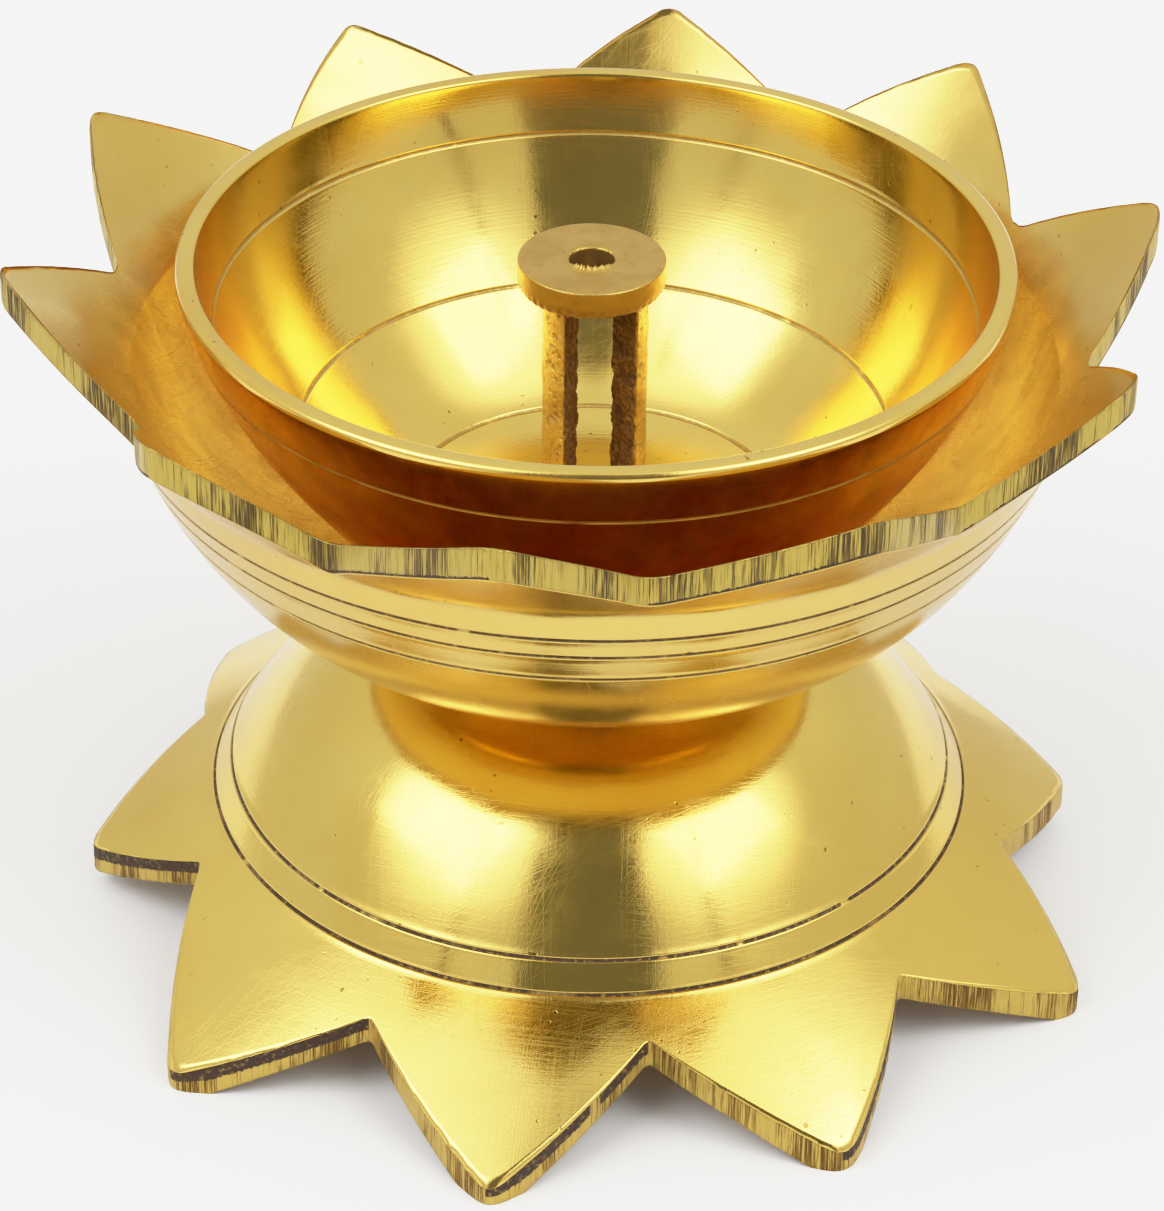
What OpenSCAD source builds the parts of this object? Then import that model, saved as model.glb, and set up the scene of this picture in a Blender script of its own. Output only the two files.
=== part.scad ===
// Lotus diya: a cast and turned oil lamp on a petalled foot.
// Origin on the floor under the lamp's axis, Z up, millimetres.

/* [Part] */

// Which piece to draw

/* [Petals] */

// Petals round the bowl and round the foot
petal_count = 10; // [6:1:16]
// How far each petal side swells past a straight cut
petal_swell = 0.8; // [0:0.1:1.5]
// Rounding left on each petal point
point_round = 1.2; // [0.6:0.1:2]

/* [Foot] */

// Petal points of the foot, from the axis
foot_tip_r = 54.8; // [50:0.2:60]
// Notches between the petals of the foot, from the axis
foot_notch_r = 43; // [40:0.2:47]
// Height of the upper face at a foot petal point
foot_tip_z = 2.4; // [1.8:0.1:3.2]
// Radius where the dome meets the petal skirt
dome_r = 38.1; // [34:0.1:42]
// Height where the dome meets the petal skirt
dome_z = 11.9; // [10:0.1:14]
// Radius of the neck that carries the bowls
neck_r = 14.4; // [12:0.1:18]
// Height of the seat on top of the neck
neck_z = 33.4; // [30:0.1:36]
// Wall of the cast foot
foot_wall = 2.5; // [2:0.1:3.5]

/* [Lotus bowl] */

// Petal points of the bowl, from the axis
lotus_tip_r = 55; // [50:0.2:60]
// Notches between the petals of the bowl, from the axis
lotus_notch_r = 46.8; // [43:0.2:50]
// Height of the upper face at a petal point
lotus_tip_z = 72.5; // [66:0.1:76]
// Radius of the waist under the petals
waist_r = 46.2; // [43:0.1:48]
// Height of the waist under the petals
waist_z = 60; // [54:0.1:63]
// Wall of the cast bowl
lotus_wall = 2.3; // [1.8:0.1:3]

/* [Oil bowl] */

// Outside radius of the rim
rim_r = 40; // [36:0.1:43]
// Height of the rim
rim_z = 71.1; // [66:0.1:74]
// Width of the flat turned rim
rim_width = 1.9; // [1.2:0.1:2.5]
// Radius of the flat floor inside
oil_floor_r = 18.3; // [14:0.1:22]
// Wall of the turned bowl
oil_wall = 1.9; // [1.4:0.1:2.4]

/* [Wick holder] */

// Radius of the wick disc
disc_r = 7.1; // [6:0.05:9]
// Height of the disc's top face
disc_z = 70.7; // [66:0.1:76]
// Thickness of the wick disc
disc_h = 3; // [1.6:0.1:3.6]
// Radius of the wick hole
wick_hole_r = 2.15; // [1.5:0.05:3]
// Radius of the slotted column
column_r = 5.05; // [4.5:0.05:6]
// Narrowest width of the slot through the column
slot_w = 3.3; // [2.4:0.1:4]
// Radius of the stem below the column
stem_r = 2.5; // [2:0.05:3]

/* [Grooves] */

// Width of an engraved line
line_w = 0.35; // [0.2:0.05:0.6]
// Depth of an engraved line
line_deep = 0.22; // [0.1:0.02:0.4]

/* [Hidden] */

$fn = 72;

curve_steps = 8;                 // straight runs in a long curve
side_steps = 5;
past = 1;                        // how far a cutter runs past the face it cuts
half_petal = 180 / petal_count;

brass = [0.80, 0.62, 0.24];
rough_brass = [0.62, 0.44, 0.18];
seal_rubber = [0.10, 0.09, 0.08];
steel = [0.66, 0.67, 0.68];

// Heights of the stack on the neck, from the neck seat upwards
washer_h = 0.6;
lotus_seat_z = neck_z + washer_h;
lotus_floor_z = lotus_seat_z + lotus_wall;
spacer_h = 3.8;
oil_seat_z = lotus_floor_z + spacer_h;
oil_floor_z = oil_seat_z + oil_wall;
seal_h = 0.5;
foot_flange_z = oil_floor_z + seal_h;
foot_flange_h = 0.9;
foot_flange_r = 6.4;
slot_floor_z = foot_flange_z + 1.7;

// Heights of the stack under the neck, from the inner ceiling downwards
ceiling_h = 4;
ceiling_z = neck_z - ceiling_h;
ceiling_r = 10.5;
flat_h = 1;
lock_h = 1.2;
nut_h = 4;
nut_flats = 8;
stem_end = 1;
flat_z = ceiling_z - flat_h;
lock_z = flat_z - lock_h;
nut_z = lock_z - nut_h;
stem_z = nut_z - stem_end;

// Holes for the stem
free_gap = 0.3;
thread_gap = 0.05;
stem_hole_r = stem_r + free_gap;
nut_hole_r = stem_r + thread_gap;

disc_under_z = disc_z - disc_h;
rim_in_r = rim_r - rim_width;

// A curve from a to c pulled towards b
function bend(a, b, c, steps = curve_steps) =
    [for (i = [0 : steps]) let (t = i / steps)
        (1 - t) * (1 - t) * a + 2 * t * (1 - t) * b + t * t * c];

// All points but the first, so that joined curves share no point
function rest_of(p) = [for (i = [1 : len(p) - 1]) p[i]];

function reversed(p) = [for (i = [len(p) - 1 : -1 : 0]) p[i]];

// Radius of a polyline at height z
function radius_at(p, z) =
    [for (i = [0 : len(p) - 2])
        if ((p[i][1] - z) * (p[i + 1][1] - z) <= 0 && p[i][1] != p[i + 1][1])
            p[i][0] + (p[i + 1][0] - p[i][0]) * (z - p[i][1]) / (p[i + 1][1] - p[i][1])][0];

function spin_point(p, a) = [p[0] * cos(a) - p[1] * sin(a), p[0] * sin(a) + p[1] * cos(a)];

// One petal side from the notch to its rounded point; the petal lies along +X
function petal_half(notch_r, tip_r) =
    let (a = notch_r * [cos(half_petal), sin(half_petal)],
         slant = atan2(a[1], tip_r - a[0]),
         b = [tip_r + point_round * (1 / sin(slant) - 1), 0],
         out = [a[1], b[0] - a[0]] / norm(b - a),
         straight_end = 1 - 1.6 * point_round / norm(b - a),
         side = [for (i = [0 : side_steps]) let (u = straight_end * i / side_steps)
                    a + (b - a) * u + out * petal_swell * 4 * u * (1 - u)],
         last = side[side_steps])
    concat(side, rest_of(bend(last, [tip_r, 0.45 * last[1]], [tip_r, 0], 3)));

function petal_outline(notch_r, tip_r) =
    let (half = petal_half(notch_r, tip_r),
         petal = concat([for (p = half) [p[0], -p[1]]],
                        [for (i = [len(half) - 2 : -1 : 1]) half[i]]))
    [for (k = [0 : petal_count - 1], p = petal) spin_point(p, 2 * half_petal * k)];

// ---- profiles, as [radius, height] from the outside inwards ----

petal_cut = 3.3;                 // height of the sawn edge of a bowl petal
tip_slope = 0.88;                // rise of a bowl petal at its point
skirt_slope = 0.63;              // fall of a foot petal at its point
foot_flat = 1.5;                 // flat rubbed on the underside of each foot petal

lotus_outside = concat(
    bend([lotus_tip_r + past, lotus_tip_z - petal_cut + tip_slope * past],
         [waist_r + 0.8, waist_z + 2.4], [waist_r, waist_z], 5),
    rest_of(bend([waist_r, waist_z], [0.83 * waist_r, lotus_seat_z],
                 [neck_r + 0.6, lotus_seat_z])));

inner_waist_r = waist_r - 1.7;
lotus_inside = concat(
    bend([lotus_tip_r + past, lotus_tip_z + tip_slope * past],
         [inner_waist_r + lotus_wall, waist_z + 4.9], [inner_waist_r, waist_z + 1], 5),
    rest_of(bend([inner_waist_r, waist_z + 1], [0.82 * inner_waist_r, lotus_floor_z],
                 [neck_r - 1.4, lotus_floor_z])));

oil_rise = rim_z - oil_seat_z;
oil_outside = concat(
    bend([rim_r, rim_z], [0.955 * rim_r, oil_seat_z + 0.69 * oil_rise],
         [0.76 * rim_r, oil_seat_z + 0.366 * oil_rise], 7),
    rest_of(bend([0.76 * rim_r, oil_seat_z + 0.366 * oil_rise],
                 [oil_floor_r + 3.7, oil_seat_z], [oil_floor_r - 4.3, oil_seat_z], 5)));

ring_r = 0.752 * rim_in_r;
ring_z = oil_floor_z + 0.348 * (rim_z - oil_floor_z);
oil_inside = concat(
    bend([rim_in_r, rim_z], [0.952 * rim_in_r, oil_floor_z + 0.676 * (rim_z - oil_floor_z)],
         [ring_r, ring_z], 7),
    rest_of(bend([ring_r, ring_z], [oil_floor_r + 4, oil_floor_z + 2.2],
                 [oil_floor_r, oil_floor_z], 4)));

dome_top = [1.46 * neck_r, neck_z - 5.3];
foot_outside = concat(
    bend([foot_tip_r + past, foot_tip_z - skirt_slope * past],
         [0.5 * (foot_tip_r + dome_r), dome_z - 4.4], [dome_r, dome_z], 6),
    rest_of(bend([dome_r, dome_z], [dome_r - 8.9, dome_top[1] - 1.9], dome_top)),
    rest_of(bend(dome_top, [neck_r + 0.5, neck_z - 3.5], [neck_r, neck_z - 0.8], 5)),
    [[neck_r, neck_z]]);

inner_edge = [dome_r - 0.68 * foot_wall, dome_z - 0.92 * foot_wall];
inner_top = [dome_top[0] - 0.6 * foot_wall, dome_top[1] - 1.08 * foot_wall];
foot_inside = concat(
    [[foot_tip_r + past, 0]],
    bend([foot_tip_r - foot_flat, 0], [0.5 * (foot_tip_r + dome_r), dome_z - 2.7 * foot_wall],
         inner_edge, 6),
    rest_of(bend(inner_edge, [dome_r - 10.2, inner_top[1] - 1.8], inner_top)),
    rest_of(bend(inner_top, [ceiling_r + 1.5, inner_top[1] + 0.8], [ceiling_r, ceiling_z], 4)));

// ---- shared shapes ----

// A wall of revolution between two profiles, with a hole on the axis
module turned_wall(outside, inside, hole) {
    rotate_extrude()
        polygon(concat(outside, [[hole, outside[len(outside) - 1][1]]],
                       [[hole, inside[len(inside) - 1][1]]], reversed(inside)));
}

// An engraved ring at radius r and height z
module engraved(r, z) {
    rotate_extrude()
        polygon([[r - line_deep, z], [r, z - line_w / 2], [r + line_deep, z], [r, z + line_w / 2]]);
}

module petal_cutout(notch_r, tip_r, height) {
    translate([0, 0, -past])
        linear_extrude(height + 2 * past) polygon(petal_outline(notch_r, tip_r));
}

module flat_ring(outer_r, inner_r, z, h) {
    rotate_extrude($fn = 48) translate([inner_r, z]) square([outer_r - inner_r, h]);
}

// ---- pieces ----

foot_line_z = dome_z + 2.6;
module foot_base() {
    color(brass) difference() {
        intersection() {
            turned_wall(foot_outside, foot_inside, stem_hole_r);
            petal_cutout(foot_notch_r, foot_tip_r, neck_z);
        }
        engraved(dome_r, dome_z);
        engraved(radius_at(foot_outside, foot_line_z), foot_line_z);
    }
}

module neck_washer() {
    color(seal_rubber) flat_ring(neck_r - 1.4, stem_hole_r, neck_z, washer_h);
}

lotus_line_drops = [2.8, 5.4, 8.6];   // engraved lines below the waist
module lotus_bowl() {
    color(brass) difference() {
        intersection() {
            turned_wall(lotus_outside, lotus_inside, stem_hole_r);
            petal_cutout(lotus_notch_r, lotus_tip_r, lotus_tip_z);
        }
        for (drop = lotus_line_drops)
            engraved(radius_at(lotus_outside, waist_z - drop), waist_z - drop);
    }
}

spacer_r = 9;
module spacer_ring() {
    color(rough_brass) flat_ring(spacer_r, stem_hole_r, lotus_floor_z, spacer_h);
}

oil_line_drop = 6;                    // engraved lines below the rim, outside and inside
module oil_bowl() {
    color(brass) difference() {
        turned_wall(oil_outside, oil_inside, stem_hole_r);
        engraved(radius_at(oil_outside, rim_z - oil_line_drop), rim_z - oil_line_drop);
        engraved(radius_at(oil_inside, rim_z - oil_line_drop), rim_z - oil_line_drop);
        engraved(ring_r, ring_z);
    }
}

module seal_washer() {
    color(seal_rubber) flat_ring(foot_flange_r, stem_hole_r, oil_floor_z, seal_h);
}

// The slot is narrow at the middle of the column and wider at both faces
slot_flare = 0.53;
module wick_slot() {
    reach = column_r + past;
    half = slot_w / 2;
    wide = half + slot_flare * reach;
    translate([0, 0, slot_floor_z]) linear_extrude(disc_under_z - slot_floor_z + past)
        polygon([[half, 0], [wide, reach], [-wide, reach],
                 [-half, 0], [-wide, -reach], [wide, -reach]]);
}

module wick_column() {
    color(rough_brass) difference() {
        rotate_extrude($fn = 60)
            polygon([[0, stem_z], [stem_r - 0.4, stem_z], [stem_r, stem_z + 0.4],
                     [stem_r, foot_flange_z], [foot_flange_r, foot_flange_z],
                     [foot_flange_r, foot_flange_z + foot_flange_h],
                     [column_r, foot_flange_z + foot_flange_h],
                     [column_r, disc_under_z], [0, disc_under_z]]);
        wick_slot();
    }
}

disc_bevel = 0.5;
hole_bevel = 0.25;
module wick_disc() {
    color(brass) rotate_extrude($fn = 60)
        polygon([[wick_hole_r, disc_under_z], [disc_r - disc_bevel, disc_under_z],
                 [disc_r, disc_under_z + disc_bevel], [disc_r, disc_z - 0.3 * disc_bevel],
                 [disc_r - 0.3 * disc_bevel, disc_z], [wick_hole_r + hole_bevel, disc_z],
                 [wick_hole_r, disc_z - hole_bevel]]);
}

nut_washer_r = 6;
module nut_washer() {
    color(steel) flat_ring(nut_washer_r, stem_hole_r, flat_z, flat_h);
}

lock_washer_r = 4.4;
split_w = 0.6;
module lock_washer() {
    color(steel) difference() {
        flat_ring(lock_washer_r, stem_hole_r, lock_z, lock_h);
        translate([0, -split_w / 2, lock_z - past])
            cube([lock_washer_r + past, split_w, lock_h + 2 * past]);
    }
}

module hex_nut() {
    corner_r = nut_flats / 2 / cos(30);
    color(steel) difference() {
        intersection() {
            translate([0, 0, nut_z]) linear_extrude(nut_h) circle(corner_r, $fn = 6);
            rotate_extrude($fn = 48)
                polygon([[0, nut_z], [corner_r - 0.5, nut_z], [corner_r, nut_z + 0.4],
                         [corner_r, nut_z + nut_h - 0.4], [corner_r - 0.5, nut_z + nut_h],
                         [0, nut_z + nut_h]]);
        }
        translate([0, 0, nut_z - past]) cylinder(r = nut_hole_r, h = nut_h + 2 * past, $fn = 48);
    }
}

foot_base();
neck_washer();
lotus_bowl();
spacer_ring();
oil_bowl();
seal_washer();
wick_column();
wick_disc();
nut_washer();
lock_washer();
hex_nut();
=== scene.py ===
import math

import bpy
import numpy as np
from mathutils import Matrix, Vector, noise

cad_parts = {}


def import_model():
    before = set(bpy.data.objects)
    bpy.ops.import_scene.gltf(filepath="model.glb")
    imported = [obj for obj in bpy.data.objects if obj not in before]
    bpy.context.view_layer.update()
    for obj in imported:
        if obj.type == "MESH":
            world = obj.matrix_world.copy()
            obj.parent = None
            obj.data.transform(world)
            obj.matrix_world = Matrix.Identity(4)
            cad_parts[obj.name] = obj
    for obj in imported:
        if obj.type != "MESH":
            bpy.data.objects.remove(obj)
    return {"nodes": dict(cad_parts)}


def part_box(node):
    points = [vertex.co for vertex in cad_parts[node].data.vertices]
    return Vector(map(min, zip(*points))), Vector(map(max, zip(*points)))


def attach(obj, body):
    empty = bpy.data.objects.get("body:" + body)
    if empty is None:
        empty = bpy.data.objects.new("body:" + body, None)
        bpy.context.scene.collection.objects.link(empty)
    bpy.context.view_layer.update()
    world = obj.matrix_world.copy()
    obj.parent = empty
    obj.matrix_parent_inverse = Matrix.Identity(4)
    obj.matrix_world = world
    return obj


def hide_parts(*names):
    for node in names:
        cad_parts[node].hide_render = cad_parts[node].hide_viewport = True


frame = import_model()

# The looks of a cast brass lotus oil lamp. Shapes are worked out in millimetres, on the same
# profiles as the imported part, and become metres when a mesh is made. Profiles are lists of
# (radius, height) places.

MM = 0.001
DEGREE = math.pi / 180
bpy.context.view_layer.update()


def top(node):
    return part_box(node)[1].z / MM


def under(node):
    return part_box(node)[0].z / MM


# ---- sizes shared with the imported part, in millimetres ----

PETALS = 10
HALF_PETAL = 180 / PETALS
PETAL_SWELL = 0.8
STEM_HOLE_R = 2.8
STEM_R = 2.5
THREAD_PITCH = 0.8

NECK_R = 14.4
NECK_Z = under("neck_washer")
DOME = (38.1, 11.9)
FOOT_TIP_R = 54.8
FOOT_NOTCH_R = 43.0
CEILING_Z = top("nut_washer")

WAIST = (46.2, 60.0)
LOTUS_TIP_R = 55.0
LOTUS_NOTCH_R = 46.8
LOTUS_SEAT_Z = under("lotus_bowl")
LOTUS_FLOOR_Z = under("spacer_ring")
LOTUS_LINES = (57.2, 54.6, 51.4)

RIM_R = 40.0
RIM_IN_R = 38.1
RIM_Z = top("oil_bowl")
OIL_SEAT_Z = under("oil_bowl")
OIL_FLOOR_Z = under("seal_washer")
OIL_RING = (28.65, 52.13)
OIL_DISH_R = 18.3     # the floor is dished inside this radius
OIL_DISH_DEEP = 1.5
OIL_LINE_Z = 65.1

DISC_R = 7.1
DISC_OFF = 0.45       # the disc was soldered on this far to the left of the axis
DISC_Z = top("wick_disc")
DISC_UNDER_Z = under("wick_disc")
WICK_HOLE_R = 2.15
COLUMN_R = 5.05
SLOT_HALF = 1.65
SLOT_FLARE = 0.53
SLOT_FLOOR_Z = 44.2
FLANGE_R = 6.4
FLANGE_Z = top("seal_washer")
STEM_Z = under("wick_column")

LINE_DEEP = 0.22      # how deep an engraved line is
SKIRT_MID_R = 0.5 * (FOOT_TIP_R + DOME[0])

# Hand-sawn petals: how far each point and each notch sits from its even place.
# The first entry is the petal on +X, then counter-clockwise; a notch follows its point.
LOTUS_POINT_TURN = (0.6, 1.5, 1.6, 2.0, 2.0, 1.2, 0.0, 0.4, 0.0, 1.2)
LOTUS_POINT_OUT = (-0.1, -0.2, -1.2, -0.9, 0.6, 1.3, 0.0, 0.0, 0.0, -0.5)
LOTUS_NOTCH_TURN = (-0.3, 0.0, 0.0, 0.0, 0.4, 1.0, -3.5, -2.5, 0.3, -0.2)
LOTUS_NOTCH_OUT = (-0.6, -0.6, -0.6, -0.6, 0.0, 0.0, -0.7, 0.8, 0.0, 0.0)
LOTUS_POINT_ROUND = (2.6, 1.5, 1.3, 1.2, 1.6, 1.6, 1.5, 2.2, 1.6, 2.8)
FOOT_POINT_TURN = (0.5, 8.0, 0.5, 0.3, -8.0, -2.7, -0.5, 0.3, 0.2, 0.7)
FOOT_POINT_OUT = (-4.7, -6.5, -0.4, -0.6, -7.0, -4.0, 0.5, 0.8, 0.2, -0.4)
FOOT_NOTCH_TURN = (3.0, -0.5, 0.4, -0.4, -5.0, -4.7, -0.7, -0.4, 0.0, -3.1)
FOOT_NOTCH_OUT = (-0.8, -0.4, 0.3, 0.2, -1.5, -1.5, 0.5, -0.6, 0.2, -0.5)
FOOT_POINT_ROUND = (1.3, 1.2, 1.4, 1.2, 1.3, 1.6, 1.4, 1.2, 1.6, 1.3)


# ---- curves ----

def bend(a, b, c, steps=60):
    """A curve from a to c pulled towards b, as in the part's source."""
    t = np.linspace(0, 1, steps + 1)[:, None]
    a, b, c = (np.array(p, float) for p in (a, b, c))
    return (1 - t) ** 2 * a + 2 * t * (1 - t) * b + t * t * c


def corner(before, at, after, size=0.25):
    """A small round at a sharp corner between two straight runs."""
    before, at, after = (np.array(p, float) for p in (before, at, after))
    to_before = (before - at) / np.linalg.norm(before - at)
    to_after = (after - at) / np.linalg.norm(after - at)
    return bend(at + size * to_before, at, at + size * to_after, 8)


def smooth_step(x, low, high):
    t = np.clip((x - low) / (high - low), 0, 1)
    return t * t * (3 - 2 * t)


def ring_noise(angle, seed, waves, count=6):
    """A smooth random wave round a ring, from -1 to 1, with whole waves between two numbers."""
    rng = np.random.default_rng(seed)
    turns = rng.integers(waves[0], waves[1] + 1, count)
    phases = rng.uniform(0, 2 * np.pi, count)
    return sum(np.sin(k * angle + p) for k, p in zip(turns, phases)) / count * 1.6


def run_noise(along, seed, step):
    """Random values every step along a line, joined smoothly."""
    rng = np.random.default_rng(seed)
    place = along / step
    values = rng.uniform(-1, 1, int(place.max()) + 3)
    cell = np.floor(place).astype(int)
    t = smooth_step(place - cell, 0, 1)
    return values[cell] * (1 - t) + values[cell + 1] * t


class Profile:
    """A line of (radius, height) points, read by its length. Its normals are to its right."""

    def __init__(self, *curves):
        points = np.vstack([np.atleast_2d(c) for c in curves]).astype(float)
        steps = np.linalg.norm(np.diff(points, axis=0), axis=1)
        self.points = points[np.concatenate([[True], steps > 1e-6])]
        steps = np.linalg.norm(np.diff(self.points, axis=0), axis=1)
        self.length = np.concatenate([[0], np.cumsum(steps)])
        run = np.diff(self.points, axis=0) / steps[:, None]
        run = np.vstack([run[:1], (run[1:] + run[:-1]) / 2, run[-1:]])
        run /= np.linalg.norm(run, axis=1)[:, None]
        self.normals = np.stack([run[:, 1], -run[:, 0]], axis=1)
        self.turning = np.unwrap(np.arctan2(run[:, 1], run[:, 0]))

    def at(self, s):
        return (np.interp(s, self.length, self.points[:, 0]),
                np.interp(s, self.length, self.points[:, 1]))

    def normal(self, s):
        return (np.interp(s, self.length, self.normals[:, 0]),
                np.interp(s, self.length, self.normals[:, 1]))

    def s_at_radius(self, radius):
        order = np.argsort(self.points[:, 0])
        return np.interp(radius, self.points[order, 0], self.length[order])

    def s_where(self, axis, value, part=(0, 1)):
        """Length where the radius (axis 0) or height (axis 1) passes a value, in a part of it."""
        share = self.length / self.length[-1]
        inside = (share >= part[0]) & (share <= part[1])
        gap = np.where(inside, abs(self.points[:, axis] - value), np.inf)
        return self.length[np.argmin(gap)]

    def stations(self, start, end, step=1.0, turn=5.0):
        """Lengths between two places, closer together where the profile bends."""
        cost = (np.diff(self.length) / step
                + abs(np.diff(self.turning)) / (turn * DEGREE))
        cost = np.concatenate([[0], np.cumsum(cost)])
        a, b = np.interp([start, end], self.length, cost)
        count = max(2, math.ceil(abs(b - a)) + 1)
        return np.interp(np.linspace(a, b, count), cost, self.length)


# Across an engraved line: place, share of the depth and darkness
LINE_SHAPE = ((-0.38, 0, 0), (-0.24, -0.16, 0), (-0.16, 0.4, 0.95), (0, 1, 1),
              (0.16, 0.4, 0.95), (0.24, -0.16, 0), (0.38, 0, 0))


def rows_with_lines(stations, lines, reach=0.45):
    """Adds the rows of each engraved line to a run of stations: (length, line, shape)."""
    rows = [(s, -1, 0.0, 0.0) for s in stations
            if all(abs(s - line) > reach for line in lines)]
    for number, line in enumerate(lines):
        rows += [(line + place, number, deep, dark) for place, deep, dark in LINE_SHAPE]
    return sorted(rows, reverse=stations[0] > stations[-1])


# ---- meshes ----

def even_angles(count):
    return np.arange(count) / count * 2 * np.pi


def ring(angles, radius, height):
    """One row of points round the axis."""
    ones = np.ones_like(angles)
    return np.stack([radius * np.cos(angles), radius * np.sin(angles), height * ones], axis=1)


def marks_at(marks, s, height):
    """Marks at one place. A mark is a number, or a function of the length and the height."""
    return {mark: value(s, height) if callable(value) else value
            for mark, value in marks.items()}


class Rows:
    """Rows of points round the axis, each with its own wear, dirt and share of painted reflected
    light, that close into a solid.
    """

    # Dirt; a sawn face, the share of its height, millimetres along it and its brown residue;
    # a cast face; and how deep between the bowls a place is, which gets a painted tone of
    # reflected light
    MARKS = ("grime", "cut", "up", "along", "tar", "cast", "deep")

    def __init__(self, angles):
        self.angles = angles
        self.points = []
        self.marks = {mark: [] for mark in self.MARKS}

    def add(self, radius, height, **marks):
        self.add_points(ring(self.angles, radius, height), **marks)

    def add_points(self, points, **marks):
        self.points.append(points)
        for mark in self.MARKS:
            self.marks[mark].append(np.broadcast_to(marks.get(mark, 0.0), self.angles.shape))

    def add_skin(self, profile, rows, outward, seed, line_strength=1.0, **marks):
        """Rows of a lathe-turned skin with its engraved lines, cut unevenly by hand."""
        for s, line, deep, dark in rows:
            radius, height = profile.at(s)
            normal_r, normal_z = profile.normal(s)
            force = line_force(self.angles, seed + line) if line >= 0 else 1.0
            depth = -outward * LINE_DEEP * line_strength * deep * force
            self.add(radius + depth * normal_r, height + depth * normal_z,
                     grime=line_strength * dark * np.clip(force * 1.15, 0, 1),
                     **marks_at(marks, s, height))


def line_force(angles, seed):
    """How hard an engraved line was cut: uneven, and all but missing in a few places."""
    even = 0.92 + 0.22 * ring_noise(angles, seed, (3, 30))
    even = even + 0.10 * ring_noise(angles, seed + 50, (60, 220))
    gaps = smooth_step(ring_noise(angles, seed + 90, (7, 60), 9), 0.62, 0.8)
    return np.clip(even * (1 - 0.65 * gaps), 0.12, 1.15)


def add_marks(mesh, marks):
    """Stores wear, dirt and the share of painted reflected light on a mesh for its material, one
    number for each point.
    """
    for mark, values in marks.items():
        layer = mesh.attributes.new(mark, "FLOAT", "POINT")
        layer.data.foreach_set("value", values.astype(np.float32).ravel())


def mesh_piece(name, points, faces, marks=None):
    """A mesh object from points in millimetres."""
    mesh = bpy.data.meshes.new(name)
    mesh.from_pydata((points * MM).tolist(), [], faces)
    add_marks(mesh, marks or {})
    mesh.shade_smooth()
    mesh.update()
    piece = bpy.data.objects.new(name, mesh)
    bpy.context.scene.collection.objects.link(piece)
    return piece


def grid_faces(rows, columns, close_rows):
    """Quads of a grid that wraps round the axis, and along its rows too if it closes."""
    i = np.arange(rows if close_rows else rows - 1)[:, None]
    j = np.arange(columns)[None, :]
    i_next = (i + 1) % rows
    j_next = (j + 1) % columns
    quads = np.stack([i * columns + j, i * columns + j_next,
                      i_next * columns + j_next, i_next * columns + j], axis=-1)
    return quads.reshape(-1, 4).tolist()


def ring_solid(name, rows):
    """A solid with a hole on the axis, from rows that run once round its wall."""
    points = np.stack(rows.points)
    faces = grid_faces(*points.shape[:2], close_rows=True)
    marks = {mark: np.stack(values) for mark, values in rows.marks.items()}
    return mesh_piece(name, points.reshape(-1, 3), faces, marks)


# ---- petals ----

SIDE_COLUMNS = 48      # columns of points along each side of a petal
SIDE_DETAIL = 120      # places that its curve is worked out at


def petal_side(notch, tip_r, roundness):
    """From a notch to the petal's point, with the petal along +X and the notch at y > 0."""
    slant = math.atan2(notch[1], tip_r - notch[0])
    virtual = np.array([tip_r + roundness * (1 / math.sin(slant) - 1), 0])
    run = virtual - notch
    out = np.array([notch[1], run[0]]) / np.linalg.norm(run)
    straight_end = 1 - 1.6 * roundness / np.linalg.norm(run)
    u = np.linspace(0, straight_end, SIDE_DETAIL)[:, None]
    side = notch + run * u + out * PETAL_SWELL * 4 * u * (1 - u)
    last = side[-1]
    return np.vstack([side, bend(last, [tip_r, 0.45 * last[1]], [tip_r, 0], 30)[1:]])


def spread(points, count):
    """Even points along a line, closer together at its ends, without the last one."""
    steps = np.linalg.norm(np.diff(points, axis=0), axis=1)
    length = np.concatenate([[0], np.cumsum(steps)])
    t = np.arange(count) / count
    t = 0.72 * t + 0.28 * (0.5 - 0.5 * np.cos(np.pi * t))
    return np.stack([np.interp(t * length[-1], length, points[:, k]) for k in (0, 1)], axis=1)


def soften(outline, centres, reach):
    """Rounds the outline near some of its points, as a file does in a notch."""
    ahead = np.linalg.norm(np.roll(outline, -1, axis=0) - outline, axis=1)
    behind = np.roll(ahead, 1)
    weight = (ahead + behind) / 2
    softened = outline.copy()
    for i in range(len(outline)):
        near = np.linalg.norm(outline - outline[i], axis=1)
        gap = np.linalg.norm(outline[centres] - outline[i], axis=1).min()
        spread_now = reach * (1 - gap / (3 * reach))
        if spread_now > 0.02:
            share = weight * np.exp(-0.5 * (near / spread_now) ** 2)
            softened[i] = (outline * share[:, None]).sum(axis=0) / share.sum()
    return softened


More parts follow.
